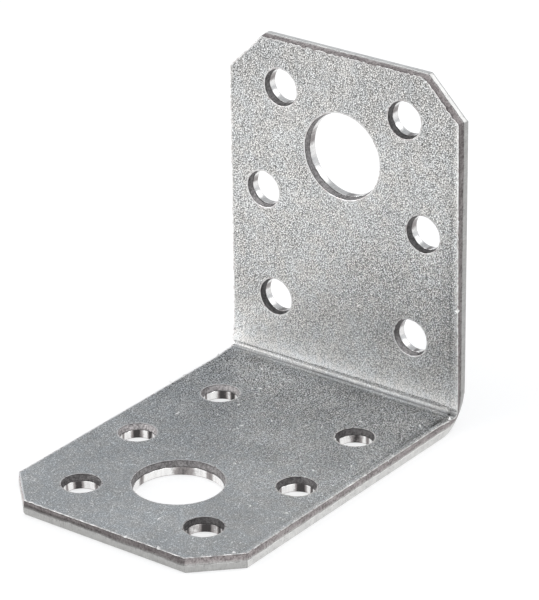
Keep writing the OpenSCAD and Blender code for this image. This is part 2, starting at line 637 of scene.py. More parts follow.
    def folded(self, plan: Array, depth: Array) -> Array:
        """Places of plan points on the folded bracket.

        Args:
            plan: points in the flat plan.
            depth: how deep each lies under the inner side, up to the thickness.

        Returns:
            One (x, y, z) per point, in millimetres in the row frame.
        """
        s = self.sizes
        inner, outer = self.section(plan[:, 1])
        share = depth / s.thickness
        yz = inner + (outer - inner) * share[:, None]
        centre = np.array([-s.fold_centre, s.fold_centre])
        reach = np.linalg.norm(yz - centre, axis=1)
        near_edge = np.exp(-(self.half_width - np.abs(plan[:, 0])) / s.swell_in)
        swell = (s.swell + s.lip_insets[0]) * bell(np.clip(reach - s.fold_in, 0, None), s.swell_out)
        swell *= (1 - s.swell_loss * share) * (np.abs(plan[:, 1]) < s.swell_along)
        neck = s.neck * bell(plan[:, 1], s.neck_along) * unit(share) ** s.neck_growth
        x = plan[:, 0] + np.sign(plan[:, 0]) * near_edge * (swell - neck)
        limit = self.half_width + s.swell
        return np.stack([np.clip(x, -limit, limit), yz[:, 0] + self.back, yz[:, 1]], 1)


# ---- The skin of the sheet


@dataclass
class Relief:
    """Small heights of the two sides of the sheet. Lengths are millimetres."""

    plan: StripPlan
    waves: LatticeNoise = LatticeNoise(5)
    wander: LatticeNoise = LatticeNoise(9)
    # waves of each side: height, length and start
    inner_waves: Table = ((0.014, 8.0, 0.0), (0.005, 2.3, 0.0))
    outer_waves: Table = ((0.012, 9.0, 40.0), (0.004, 2.0, 70.0))
    # sag beside a hole: depth, where it starts and how fast it fades
    hole_sag: Three = (0.05, 0.1, 0.38)
    # beside the right edge: height, distance from it and half width
    side_marks: Table = ((-0.03, 0.95, 0.26), (0.01, 0.4, 0.2))
    # sag toward the outline: depth and half width
    rim_sag: Pair = (0.02, 0.55)
    # step above the high fold line: height, fade, start and rise
    fold_step: Four = (0.15, 0.8, 1.48, 0.2)
    # fold lines: depth and half width, and how far the high one is above the inner round
    low_line: Pair = (0.03, 0.24)
    high_line: Pair = (0.018, 0.11)
    high_rise: float = 0.33
    # how the high line runs: drifts (height, length, row of the noise), climb to the right, dip
    # near the edge, and where along the strip this is felt
    drifts: Table = ((0.02, 1.7, 0.5), (0.015, 0.7, 7.5))
    climb: float = 0.016
    dip_start: float = 14.8
    dip: float = 0.33
    climb_along: Pair = (1.5, 1.2)
    # press marks on the outer side: distance past the fold, depth, half width and drift
    outer_marks: Four = (1.6, 0.02, 0.35, 0.15)
    outer_drop: float = 0.016
    # small dents on the inner side: across, along, radius and depth
    dents: Table = (
        (15.9, -6.2, 1.1, 0.05), (14.6, -7.4, 0.8, 0.035), (-6.0, -19.0, 1.6, 0.012),
        (5.5, -30.0, 1.4, 0.012), (4.0, 14.0, 1.8, 0.012), (-12.0, 36.0, 1.3, 0.01),
    )
    dent_squeeze: float = 0.8

    def inner(self, points: Array) -> Array:
        """Height above the inner side, which is negative in a hollow."""
        u, v = points[:, 0], points[:, 1]
        height = self._rolling(u, v, self.inner_waves)
        depth, start, fade = self.hole_sag
        height -= depth * np.exp(-np.clip(self.plan.clear_of_holes(points) - start, 0, None) / fade)
        side = self.plan.half_width - u
        for raised, at, half in self.side_marks:
            height += raised * bell(side - at, half) * (side < SIDE_BAND)
        depth, half = self.rim_sag
        height -= depth * bell(self.plan.inside(points), half)
        raised, fade, start, rise = self.fold_step
        height += raised * np.exp(-self._past_fold(v) / fade) * unit((self.lifted(u, v) - start) / rise)
        height -= self._creases(u, v)
        for across, along, radius, depth in self.dents:
            height -= depth * bell(np.hypot(u - across, (v - along) * self.dent_squeeze), radius)
        return height

    def outer(self, points: Array) -> Array:
        """Height above the outer side. It is never positive, so the skin stays in its box."""
        u, v = points[:, 0], points[:, 1]
        height = self._rolling(u, v, self.outer_waves) - self.outer_drop
        past, depth, half, drift = self.outer_marks
        line = self.plan.sizes.fold_out + past
        for at in (-line, line):
            height -= depth * bell(v - at + drift * self.wander.plane(u / 3, 12.5), half)
        return height

    def lifted(self, u: Array, v: Array) -> Array:
        """Places along the strip, where the marks of the punch climb a little to the right of the fold."""
        drift = sum(height * self.wander.plane(u / length, row) for height, length, row in self.drifts)
        dip = self.dip * np.clip(u - self.dip_start, 0, None)
        at, half = self.climb_along
        return v - (self.climb * u + drift - dip) * bell(v - at, half)

    def _rolling(self, u: Array, v: Array, waves: Table) -> Array:
        """Long low waves of a side."""
        return sum(high * self.waves.plane(u / length + start, v / length) for high, length, start in waves)

    def _past_fold(self, v: Array) -> Array:
        """Distance up the inner side of the upright from the end of the fold's inner round."""
        s = self.plan.sizes
        pace = (2 * s.lead + s.arc) / (2 * s.fold_out)
        in_fold = np.clip(s.lead - pace * np.clip(s.fold_out - v, 0, None), 0, None)
        return in_fold + np.clip(v - s.fold_out, 0, None)

    def _creases(self, u: Array, v: Array) -> Array:
        """Depth of the two lines that the nose of the punch has left along the fold."""
        s = self.plan.sizes
        line = s.fold_out - 2 * s.fold_out * s.lead / (2 * s.lead + s.arc)
        bite = 0.75 + 0.25 * self.wander.plane(u / 2.4, 3.5)
        low = self.low_line[0] * bell(v + line, self.low_line[1])
        high = self.high_line[0] * bell(self.lifted(u, v) - line - self.high_rise, self.high_line[1])
        return bite * (low + high)


@dataclass(frozen=True)
class ZincTones:
    """How frosty the zinc is, and the painted light and shade that make it brighter or duller than plain.
    Lengths are millimetres.
    """

    # painted light and shade of the inner side at places along the strip: darker on the base toward the fold
    # and brighter on the upright above it. The two lines and the band between them are where the nose of the
    # punch has rubbed the fold, and the lines carry painted shade
    painted_light_along: Table = (
        (-51.0, -0.02), (-44.0, -0.03), (-36.0, -0.07), (-28.0, -0.13), (-20.0, -0.20), (-9.0, -0.24),
        (-6.2, -0.24), (-5.2, -0.31), (-3.8, -0.38), (-2.6, -0.32), (-1.6, -0.24), (-1.2, -0.20),
        (-0.9, -0.13), (-0.55, -0.14), (-0.3, -0.57), (-0.05, -0.56), (0.15, -0.22), (0.4, -0.27),
        (0.7, -0.32), (0.95, -0.2), (1.2, 0.0), (1.48, 0.45), (1.54, 0.4), (1.59, 0.05), (1.64, 0.4),
        (1.69, 0.9), (2.4, 0.88), (3.2, 0.86), (4.4, 0.64), (6.0, 0.33), (10.0, 0.04), (18.0, 0.06),
        (27.0, 0.12), (36.0, 0.02), (47.0, -0.08),
    )
    # millimetres over which the base's zinc gives way to the upright's
    blend: float = 2.4
    # how much the painted light and shade varies near the fold, and how much the tone varies all over the
    # base
    painted_light_vary: float = 0.15
    painted_light_near: float = 9.0
    base_vary: float = 0.06
    # at the left end of the fold its tones lie this much further along the base
    left_lean: float = 0.42
    # patches of painted light and shade on the inner side: across, along, half width across and along, tone
    light_patches: Table = (
        (16.5, -5.0, 0.35, 1.8, -0.30), (8.0, -8.0, 9.0, 7.0, -0.09), (0.0, -13.0, 7.0, 4.0, -0.06),
        (-8.0, -20.0, 5.0, 6.0, -0.07), (2.0, -22.0, 4.0, 6.0, 0.04), (16.5, -20.0, 2.5, 9.0, 0.10),
        (12.0, 9.0, 6.0, 7.0, -0.08), (14.5, 30.0, 3.0, 12.0, 0.08), (15.6, 20.0, 0.9, 13.0, -0.16),
        (17.3, 0.5, 0.7, 1.1, -0.3), (4.0, 3.0, 9.0, 2.2, 0.06), (11.0, 11.0, 8.0, 7.0, -0.13),
    )
    # frost at the front, its gain along the base and where that runs, and on the upright
    frost_front: float = 0.38
    frost_gain: float = 0.55
    frost_run: Pair = (-39.0, -13.0)
    frost_upright: float = 0.02
    # more of it, and the share rubbed off, each at a place along the strip with a half width
    frost_bells: Table = ((0.45, -5.0, 6.0), (-0.18, 7.0, 6.0))
    rubbed: Table = ((0.7, 0.0, 1.7), (0.3, 2.6, 1.5))
    # share left at the edges, and how far in it is whole again
    edge_frost: float = 0.5
    edge_reach: float = 0.7
    # painted highlight on the line beside the right edge: tone, distance from it and half width
    side_line: Three = (0.19, 0.3, 0.32)
    # painted shade in the trough beside it. Pairs are a value and its change, or where a change starts and
    # ends
    trough: Pair = (0.22, 0.13)
    trough_low: Pair = (36.0, 24.0)
    trough_front: float = 0.4
    trough_base: Pair = (-26.0, -12.0)
    trough_at: Pair = (0.98, 0.18)
    trough_near: Pair = (18.0, 8.0)
    trough_half: float = 0.28
    # bright rim of a hole: tone and how fast it fades
    hole_rim: Pair = (0.22, 0.22)

    def frost(self, v: Array, upright: Array, clear: Array) -> Array:
        """How frosty the zinc is at places along the strip, by their distance from every edge."""
        frost = self.frost_front + self.frost_gain * ramp(v, *self.frost_run) + self.frost_upright * upright
        for more, along, half in self.frost_bells:
            frost = frost + more * bell(v - along, half)
        frost = frost * (self.edge_frost + (1 - self.edge_frost) * unit(clear / self.edge_reach))
        for lost, along, half in self.rubbed:
            frost = frost * (1 - lost * bell(v - along, half))
        return frost

    def side(self, side: Array, v: Array, upright: Array) -> Array:
        """Painted highlight on the line and painted shade in the trough beside the right edge, at a distance
        from it.
        """
        bright, at, half = self.side_line
        dark = self.trough[0] + self.trough[1] * ramp(v, *self.trough_low)
        dark = dark * (self.trough_front + (1 - self.trough_front) * ramp(v, *self.trough_base))
        dark_at = self.trough_at[0] - self.trough_at[1] * ramp(v, *self.trough_near) * upright
        tone = bright * bell(side - at, half) - dark * bell(side - dark_at, self.trough_half)
        return np.where(side < SIDE_BAND, tone, 0.0)

    def light_and_punch_marks(self, u: Array, v: Array, relief: Relief) -> Array:
        """Painted light and shade along the strip, with painted shade in the lines that the punch has left on
        the fold.
        """
        lean = self.left_lean * unit(-u / 9 - 0.9) * bell(v, 1.0)
        near, tones = zip(*self.painted_light_along)
        tone = np.interp(relief.lifted(u, v) + lean, near, tones)
        vary = self.painted_light_vary * relief.wander.plane(u / 3, v / 2 + 5)
        tone = tone * (1 + vary * (np.abs(v) < self.painted_light_near))
        tone = tone + self.base_vary * relief.wander.plane(u / 4 + 3, v / 4) * (v < 0)
        for across, along, wide, long, strength in self.light_patches:
            tone = tone + strength * np.exp(-((u - across) / wide) ** 2 - ((v - along) / long) ** 2)
        return tone

    def rim(self, clear: Array) -> Array:
        """Tone of the rim of a hole, at a distance from its wall."""
        tone, fade = self.hole_rim
        return tone * np.exp(-np.clip(clear, 0, None) / fade)


@dataclass(frozen=True)
class CutShape:
    """How one kind of edge was cut. Lengths are millimetres."""

    # depth of the torn band, width and depth of the rollover, raggedness and height of the lip
    tear: float
    wide: float
    deep: float
    ragged: float
    burr: float
    wall: Zone
    rip: Zone
    lip_wall: Zone
    # distances of the lip's foot, shoulder, crest and undercut from its edge
    lip_back: Four = (0.36, 0.2, 0.06, 0.03)
    # noises of the lip's line: height, size and channel
    jags: Table = ((0.03, 0.42, 3), (0.07, 0.27, 4))
    jag: float = 0.04
    # rows at shares of the torn band's depth
    tear_rows: tuple[float, ...] = (0.16, 0.3, 0.45, 0.6, 0.75, 0.9)
    # rows round the rollover, and how many of them wear the wall's finish
    roll_rows: int = 6
    wall_rows: int = 4


OUTER_CUT = CutShape(1.0, 0.26, 0.5, 1.0, 0.05, Zone.BURNISHED, Zone.TORN, Zone.LIP)
HOLE_CUT = CutShape(0.9, 0.15, 0.15, 0.35, 0.02, Zone.BORE, Zone.BORE_TORN, Zone.BORE_TORN)


@dataclass
class EdgeRow:
    """One row of the skin along a sheared edge."""

    offset: Array
    depth: Array
    zone: Zone
    # depth that the finish goes by, where it isn't the real one
    mark: Array | None = None


@dataclass
class SheetSkin:
    """The closed skin of the folded strip."""

    plan: StripPlan
    relief: Relief
    cuts: CutPaintedLight = CutPaintedLight()
    zinc: ZincTones = ZincTones()
    # plan points, depths, runs and tones, row by row
    rows: list[tuple[Array, ...]] = field(default_factory=list)
    faces: list[tuple[int, ...]] = field(default_factory=list)
    zones: list[int] = field(default_factory=list)
    lips: list[tuple[Array, Array]] = field(default_factory=list)
    total: int = 0

    def _add(self, *row: Array) -> Array:
        """Adds points with their depths, runs and tones, and returns their numbers."""
        self.rows.append(row)
        first = self.total
        self.total += len(row[0])
        return np.arange(first, self.total)

    def _all(self) -> list[Array]:
        """Plan points, depths, runs and tones of the whole skin."""
        return [np.concatenate(part) for part in zip(*self.rows)]

    def edge_rows(self, loop: Loop) -> list[EdgeRow]:
        """Rows of one sheared edge, from the inner side round to the outer side.

        Args:
            loop: the edge.

        Returns:
            The rows, each with the finish of the faces that follow it.
        """
        s = self.plan.sizes
        cut = HOLE_CUT if loop.bore else OUTER_CUT
        flat = np.zeros(len(loop.points))
        far, near, side = flat, flat, flat
        if not loop.bore:
            far, near, side = loop.facing(1), loop.facing(1, -1), np.abs(loop.normals[:, 0]) ** FACING
        wide, deep = cut.wide * (1 - 0.4 * side), cut.deep * (1 - 0.3 * side)
        burr = 0.012 + 0.02 * near + cut.burr * unit(loop.noise(0.55, 1) + 0.15)
        ragged = cut.ragged * (1 + 0.6 * loop.noise(3.0, 2)) * (1 + 0.9 * far)
        ragged = ragged * (1 - 0.6 * side - 0.45 * near)
        jag = np.clip(ragged * (cut.jag + loop.ripple(*cut.jags)), 0, None)
        limit = cut.tear * (1 + (0.06 + 0.06 * near) * loop.noise(1.9, 5) + 0.05 * loop.noise(0.5, 6))
        lip = -self._inset(loop) - jag
        foot, shoulder, crest, under = cut.lip_back
        rows = [
            EdgeRow(lip - foot, flat, Zone.ZINC),
            EdgeRow(lip - shoulder + 0.4 * jag, -0.2 * burr, Zone.LIP),
            EdgeRow(lip - crest, -burr, Zone.LIP),
            EdgeRow(lip, -0.3 * burr, cut.lip_wall),
            EdgeRow(lip - under, flat + 2 * under, cut.rip),
        ]
        for k, share in enumerate(cut.tear_rows):
            rough = loop.ripple((0.035, 0.3, 10 + k), (0.025, 0.9, 7))
            offset = np.minimum(lip * (1 - share) ** 1.3 - under + rough, -0.004)
            rows.append(EdgeRow(offset, limit * share, cut.rip, flat + cut.tear * share))
        stand = s.wall_stand * side * (loop.points[:, 1] > s.fold_out)
        top = s.thickness - deep
        rows += [
            EdgeRow(stand - 0.05 + 0.012 * loop.noise(0.3, 21), limit, cut.wall, flat + cut.tear),
            EdgeRow(stand - 0.002, limit + 0.03, cut.wall),
            EdgeRow(stand, (limit + top) / 2, cut.wall),
        ]
        for k in range(cut.roll_rows):
            angle = k / (cut.roll_rows - 1) * math.pi / 2
            finish = cut.wall if k < cut.wall_rows else Zone.ZINC
            rows.append(EdgeRow(stand - wide * (1 - math.cos(angle)), top + deep * math.sin(angle), finish))
        rows.append(EdgeRow(stand - wide - 0.12, flat + s.thickness, Zone.ZINC))
        return rows

    def _inset(self, loop: Loop) -> Array:
        """How far the lip of an edge stands in from its wall, per sample."""
        s = self.plan.sizes
        if loop.bore:
            return np.full(len(loop.points), s.hole_flare)
        right, left, far, near, crop = s.lip_insets
        reached = (-s.lean_start, s.lean_start, self.plan.upright_leg)
        right = right - np.interp(loop.points[:, 1], reached, (0.0, *s.lip_lean))
        inset = np.full(len(right), crop)
        for axis, sign, value in ((0, 1, right), (0, -1, left), (1, 1, far), (1, -1, near)):
            inset += (value - crop) * loop.facing(axis, sign) ** FACING
        return inset

    def _cut_tone(self, loop: Loop, row: EdgeRow, mark: Array) -> Array:
        """Painted light and shade of one row of an edge, one value per sample. mark is the depth that the
        finish goes by.
        """
        if row.zone == Zone.BORE:
            return self.cuts.dark_reflection(loop)
        if row.zone == Zone.BORE_TORN:
            return self.cuts.torn(loop)
        if loop.bore:
            return np.full(len(mark), self.cuts.hole_lip)
        if row.zone == Zone.TORN:
            return self.cuts.torn_outline(loop, row.depth, mark)
        return self.cuts.band(loop, 0 if row.zone == Zone.LIP else 2)

    def add_edge(self, loop: Loop) -> tuple[Array, Array]:
        """Adds the rows of one sheared edge.

        Args:
            loop: the edge.

        Returns:
            Point numbers of the first row, on the inner side, and of the last, on the outer.
        """
        s = self.plan.sizes
        ids, rows = [], self.edge_rows(loop)
        for row in rows:
            plan = loop.points + loop.normals * np.maximum(row.offset, -loop.room)[:, None]
            # the first and last tenth of a millimetre follow the relief of the two sides
            on_inner, on_outer = unit(1 - row.depth / 0.1), unit(1 - (s.thickness - row.depth) / 0.1)
            depth = row.depth - on_inner * self.relief.inner(plan) - on_outer * self.relief.outer(plan)
            if on_outer.max() > 0:
                depth = np.minimum(depth, s.thickness)
            mark = row.depth if row.mark is None else row.mark
            # the torn band reaches deeper on the right side of the upright
            late = 0.2 * (not loop.bore) * loop.facing(0) * (loop.points[:, 1] > 0)
            run = np.stack([loop.run, mark * (1 - late), np.full(len(plan), float(loop.seed))], 1)
            ids.append(self._add(plan, depth, run, self._cut_tone(loop, row, mark)))
        self.lips.append((ids[2], ids[1]))
        for row, upper, lower in zip(rows, ids, ids[1:]):
            quads = np.stack([upper, lower, np.roll(lower, -1), np.roll(upper, -1)], 1)
            self.faces += [tuple(q) for q in quads.tolist()]
            self.zones += [int(row.zone)] * len(upper)
        return ids[0], ids[-1]

    def add_face(self, rings: list[Array], side: Side) -> None:
        """Fills one side of the sheet between its sheared edges.

        Args:
            rings: point numbers of the outline and then of each hole, metal on the left.
            side: the side.
        """
        thickness = self.plan.sizes.thickness
        inside = self.plan.face_points(side)
        edge = np.concatenate(rings)
        flat = np.concatenate([self._all()[0][edge], inside])
        loops, start = [], 0
        for k, ring in enumerate(rings):
            ids = list(range(start, start + len(ring)))
            loops.append(ids if k == 0 else ids[::-1])
            start += len(ring)
        _, _, faces, origin, _, face_of = geometry.delaunay_2d_cdt(
            [Vector(p) for p in flat.tolist()], [], loops, 0, 1e-7, True)
        if side.inner:
            depth = -self.relief.inner(inside)
        else:
            depth = np.minimum(thickness - self.relief.outer(inside), thickness)
        fresh = self._add(inside, depth, np.zeros((len(inside), 3)), np.zeros(len(inside)))
        number = np.concatenate([edge, fresh])
        for corners, owners in zip(faces, face_of):
            if owners == [0]:
                ids = tuple(int(number[origin[i][0]]) for i in corners)
                self.faces.append(ids if side.inner else ids[::-1])
                self.zones.append(int(Zone.ZINC))

    def build(self, name: str) -> Object:
        """Builds the skin as one closed mesh.

        Args:
            name: name of the piece.

        Returns:
            The new object, at the origin.
        """
        loops = [self.plan.outline()] + [self.plan.hole_edge(i) for i in range(len(self.plan.holes))]
        ends = [self.add_edge(loop) for loop in loops]
        self.add_face([first for first, _ in ends], INNER)
        self.add_face([last for _, last in ends], OUTER)
        plan, depth, run, cut = self._all()
        mesh = new_mesh(name, self.plan.folded(plan, depth), [], self.faces)
        mesh.polygons.foreach_set("material_index", np.array(self.zones, np.int32))
        for layer, values in self._layers(plan, depth, cut).items():
            values_of = mesh.attributes.new(layer, "FLOAT", "POINT").data
            values_of.foreach_set("value", values.astype(np.float32))
        along_edge = mesh.attributes.new("run", "FLOAT_VECTOR", "POINT")
        along_edge.data.foreach_set("vector", run.astype(np.float32).ravel())
        mesh.validate()
        mesh.shade_smooth()
        mesh.set_sharp_from_angle(angle=math.radians(38))
        return new_object(name, mesh)

    def _layers(self, plan: Array, depth: Array, cut: Array) -> dict[str, Array]:
        """What the finishes follow, for each point: how frosty the zinc is, its painted light and shade, and
        where it is.
        """
        u, v = plan.T
        clear_of_holes = self.plan.clear_of_holes(plan)
        clear = np.minimum(self.plan.inside(plan), clear_of_holes)
        upright = unit(v / self.zinc.blend + 0.5)
        # the tone holds painted light and shade along the strip and beside the right edge, and the brighter
        # rims of the holes
        tone = self.zinc.side(self.plan.half_width - u, v, upright) + self.zinc.light_and_punch_marks(u, v, self.relief)
        tone = (tone + self.zinc.rim(clear_of_holes)) * (depth < 0.5 * self.plan.sizes.thickness)
        return {"frost": self.zinc.frost(v, upright, clear), "tone": tone, "upright": upright,
                "along": self.relief.lifted(u, v), "cut": cut}

    def lip_path(self, which: int) -> Array:
        """Places just inside the crest of one sheared edge, in millimetres."""
        plan, depth, _, _ = self._all()
        ids, inner = self.lips[which]
        crest = plan[ids] + 0.5 * (plan[inner] - plan[ids])
        return self.plan.folded(crest, depth[ids] + 0.02)


# ---- Finishes


@dataclass
class NodeTree(Nodes):
    """A short way to write the shader of a material or of the world."""

    material: Material | World

    def __post_init__(self) -> None:
        """Picks the tree."""
        self.tree = self.material.node_tree

    @classmethod
    def fresh(cls, name: str) -> "NodeTree":
        """An empty material with a surface to fill."""
        material = bpy.data.materials.new(name)
        material.use_nodes = True
        material.node_tree.nodes.clear()
        return cls(material)

    def math(self, operation: str, a: object, b: object = 0.0) -> Socket:
        """A Math node's output."""
        return self.out("ShaderNodeMath", {0: a, 1: b}, operation=operation)

    def add(self, first: object, *others: object) -> Socket:
        """A sum of values."""
        return reduce(lambda total, term: self.math("ADD", total, term), others, first)

    def times(self, first: object, *others: object) -> Socket:
        """A product of values."""
        return reduce(lambda total, factor: self.math("MULTIPLY", total, factor), others, first)

    def swing(self, value: object, size: float, middle: float = 0.5) -> Socket:
        """How far a value is from its middle, times a size."""
        return self.times(self.math("SUBTRACT", value, middle), size)

    def less(self, most: float, value: object, share: float) -> Socket:
        """The most there can be, less a share of a value."""
        return self.math("SUBTRACT", most, self.times(value, share))

    def spread(self, value: object, low: float, high: float, to_low: float = 0, to_high: float = 1) -> Socket:
        """A value moved smoothly from one range to another."""
        inputs = {0: value, 1: low, 2: high, 3: to_low, 4: to_high}
        return self.out("ShaderNodeMapRange", inputs, interpolation_type="SMOOTHSTEP")

    def noise(self, vector: object, scale: float, detail: float = 2, rough: float = 0.5,
              curl: float = 0) -> Socket:
        """A noise value in 0..1."""
        inputs = {"Vector": vector, "Scale": scale, "Detail": detail, "Roughness": rough,
                  "Distortion": curl}
        return self.out("ShaderNodeTexNoise", inputs)

    def speckle(self, size_mm: float, *rest: float) -> Socket:
        """Noise of a size, over the whole piece. The rest is as for noise()."""
        return self.noise(self.place(), 1 / (size_mm * MM), *rest)

    def streaks(self, vector: object, scale: Three, *rest: float) -> Socket:
        """Noise along coordinates that are scaled on each axis. The rest is as for noise()."""
        return self.noise(self.out("ShaderNodeMapping", {"Vector": vector, "Scale": scale}), 1.0, *rest)

    def grains(self, size_mm: float) -> Socket:
        """A random value in 0..1 for each small cell of a size."""
        cells = self.node("ShaderNodeTexVoronoi", {"Vector": self.place(), "Scale": 1 / (size_mm * MM)})
        return self.out("ShaderNodeSeparateColor", {0: cells.outputs["Color"]})

    def mix(self, share: object, a: object, b: object, blend: str = "MIX") -> Socket:
        """A mix of two colours."""
        inputs = {0: share, 6: a, 7: b}
        return self.node("ShaderNodeMix", inputs, data_type="RGBA", blend_type=blend).outputs[2]

    def shaded(self, colour: object, value: object) -> Socket:
        """A colour made brighter or darker."""
        grey = self.out("ShaderNodeCombineColor", {0: value, 1: value, 2: value})
        return self.mix(1.0, colour, grey, "MULTIPLY")

    def with_cut_light(self, colour: object) -> Socket:
        """A colour made brighter or darker by the painted light and shade of each cut, which the cut
        attribute holds.
        """
        return self.shaded(colour, self.add(self.attribute("cut"), 1.0))

    def attribute(self, name: str, vector: bool = False) -> Socket:
        """An attribute of the mesh."""
        return self.node("ShaderNodeAttribute", attribute_name=name).outputs["Vector" if vector else "Fac"]

    def place(self) -> Socket:
        """Object coordinates."""
        return self.node("ShaderNodeTexCoord").outputs["Object"]

    def bump(self, height: object, depth_mm: float, strength: float, normal: object = None) -> Socket:
        """A bumped normal."""
        inputs = {"Height": height, "Distance": depth_mm * MM, "Strength": strength}
        if normal is not None:
            inputs["Normal"] = normal
        return self.out("ShaderNodeBump", inputs)

    def surface(self, **inputs: object) -> Material:
        """Closes the tree with a Principled surface and returns the material."""
        shader = self.out("ShaderNodeBsdfPrincipled", {k.replace("_", " "): v for k, v in inputs.items()})
        self.node("ShaderNodeOutputMaterial", {"Surface": shader})
        return self.material


@dataclass(frozen=True)
class ZincCoating:
    """Bright zinc with a fine frosted grain, a faint cloudy tint and rubbed margins, made brighter and darker
    by painted light and shade.
    """

    name: str = "zinc_coating"
    # the legs are one zinc, and the difference between their two colours is painted light and shade
    base_metal_as_lit: Colour = (0.537, 0.547, 0.554, 1)
    upright_metal_as_lit: Colour = (0.498, 0.495, 0.489, 1)
    cool: Colour = (0.986, 1.0, 1.012, 1)
    warm: Colour = (1.012, 1.0, 0.986, 1)
    grain_mm: float = 0.08
    glint_mm: float = 0.21
    relief_mm: float = 0.26
    tint_mm: float = 1.6
    cloud_mm: float = 7.0
    fleck_mm: float = 0.15
    curl_mm: float = 0.55
    patch_mm: float = 3.2
    smear_mm: Three = (0.25, 3.5, 3.5)
    # strengths of what makes the zinc brighter or darker, and what the upright loses of it
    contrast: float = 2.55
    spark: float = 0.5
    glint: float = 0.9
    fleck: float = 0.9
    curl: float = 0.42
    cloud: float = 0.34
    smear: float = 0.10
    fleck_loss: float = 0.5
    curl_loss: float = 0.7
    # painted shade in the high fold line: place, raggedness, half widths of its core and its side, darkness
    crease_shade_at: float = 1.6
    crease_shade_ragged: float = 0.12
    crease_shade_half: Pair = (0.02, 0.065)
    crease_shade: float = 0.75
    darkest: float = 0.08
    brightest: float = 1.98
    roughness: float = 0.42

    def build(self) -> Material:
        """Builds the material."""
        t = NodeTree.fresh(self.name)
        upright = t.attribute("upright")
        fine = t.grains(self.grain_mm)
        # the middles are the means of the two patterns, so that they leave the tone as it is
        grain = t.swing(t.math("POWER", fine, 2.2), self.spark, 0.31)
        grain = t.add(grain, t.swing(self._glints(t), self.glint, 0.186))
        flecks = t.spread(t.grains(self.fleck_mm), 0.95, 0.985)
        flecks = t.times(flecks, t.less(self.fleck, upright, self.fleck_loss))
        curls = t.spread(t.speckle(self.curl_mm, 2, 0.6, 2.2), 0.57, 0.66, 0, self.curl)
        patches = t.spread(t.speckle(self.patch_mm, 2), 0.4, 0.62)
        curls = t.times(curls, patches, t.less(1.0, upright, self.curl_loss))
        smear = t.streaks(t.place(), tuple(1 / (size * MM) for size in self.smear_mm), 2)
        lift = t.times(grain, t.times(t.attribute("frost"), self.contrast))
        # painted shade in the high fold line darkens the zinc
        lift = t.math("SUBTRACT", t.add(lift, flecks, curls), self._crease_shade(t))
        clouds = t.swing(t.speckle(self.cloud_mm, 3, 0.55), self.cloud)
        lift = t.add(lift, clouds, t.swing(smear, self.smear))
        # the tone attribute brings in painted light and shade
        shade = t.times(t.math("MAXIMUM", t.add(lift, 1.0), self.darkest), t.add(t.attribute("tone"), 1.0))
        tint = t.mix(t.spread(t.speckle(self.tint_mm, 2, 0.6), 0.35, 0.65), self.cool, self.warm)
        # painted light and shade: each leg takes its own colour of the same zinc
        metal = t.mix(1.0, t.mix(upright, self.base_metal_as_lit, self.upright_metal_as_lit), tint, "MULTIPLY")
        colour = t.shaded(metal, t.math("MINIMUM", shade, self.brightest))
        rough = t.add(self.roughness, t.swing(fine, 0.16))
        bumps = t.bump(fine, 0.012, 0.2, t.bump(t.speckle(self.relief_mm, 3, 0.6), 0.05, 0.14))
        return t.surface(Base_Color=colour, Metallic=1.0, Roughness=rough, Normal=bumps)

    def _glints(self, t: NodeTree) -> Socket:
        """Small bright dots, evenly strewn along the strip, in 0..1."""
        x, y, z = t.node("ShaderNodeSeparateXYZ", {0: t.place()}).outputs
        flat = t.out("ShaderNodeCombineXYZ", {0: x, 1: t.add(y, z)})
        cells = t.node("ShaderNodeTexVoronoi", {"Vector": flat, "Scale": 1 / (self.glint_mm * MM)},
                       voronoi_dimensions="2D").outputs
        chance = t.node("ShaderNodeSeparateColor", {0: cells["Color"]}).outputs[1]
        dots = t.math("POWER", t.spread(cells["Distance"], 0.05, 0.6, 1, 0), 1.3)
        return t.times(dots, t.add(t.times(chance, 0.8), 0.2))

    def _crease_shade(self, t: NodeTree) -> Socket:
        """Darkness of the painted shade in the thin ragged line that the punch has left above the fold."""
        away = t.math("SUBTRACT", t.attribute("along"), self.crease_shade_at)
        away = t.add(away, t.swing(t.speckle(0.35, 3, 0.7), self.crease_shade_ragged))
        return t.spread(t.math("ABSOLUTE", away), *self.crease_shade_half, self.crease_shade, 0)


@dataclass(frozen=True)
class HighlitBurr:
    """The thin lip that stands along a sheared edge, and small beads of zinc. Their near-white colour is a
    painted highlight on the lip and painted glints on the beads.
    """

    name: str = "highlit_burr"
    metal: Colour = (0.96, 0.95, 0.94, 1)
    dull: Colour = (0.66, 0.62, 0.61, 1)
    metallic: float = 1.0
    patch_mm: float = 0.5

    def build(self) -> Material:
        """Builds the material."""
        t = NodeTree.fresh(self.name)
        patch = t.speckle(self.patch_mm, 3, 0.6)
        colour = t.with_cut_light(t.mix(t.spread(patch, 0.36, 0.54), self.dull, self.metal))
        rough = t.spread(patch, 0.3, 0.7, 0.25, 0.42)
        return t.surface(Base_Color=colour, Metallic=self.metallic, Roughness=rough)


